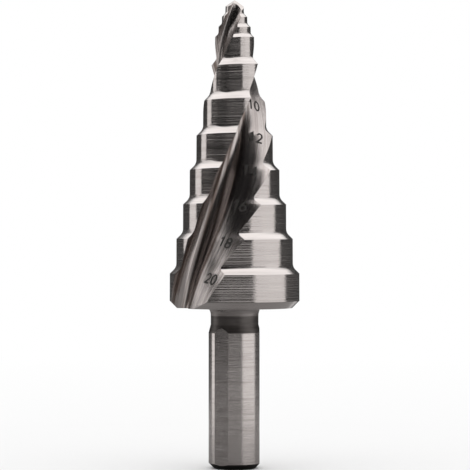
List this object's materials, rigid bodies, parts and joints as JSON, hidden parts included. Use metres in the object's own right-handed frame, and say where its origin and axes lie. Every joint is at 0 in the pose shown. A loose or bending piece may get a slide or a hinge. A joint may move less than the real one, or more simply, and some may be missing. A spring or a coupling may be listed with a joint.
{
  "type": "step drill bit",
  "caption": "Conical step drill with right-hand spiral flutes, a split point and a flatted round shank.",
  "frame": {"origin": "centre of the shank's end face, which the tool stands on", "axes": "+Z along the drill's axis, from the shank to the point; -Y is the side that the picture shows"},
  "size_m": [0.02, 0.02, 0.072],
  "materials": {
    "ground_steel": "bright ground tool steel, with grinding lines around the steps and along the flutes"
  },
  "bodies": {
    "root": {"step_drill_bit": "ground_steel"}
  },
  "joints": []
}
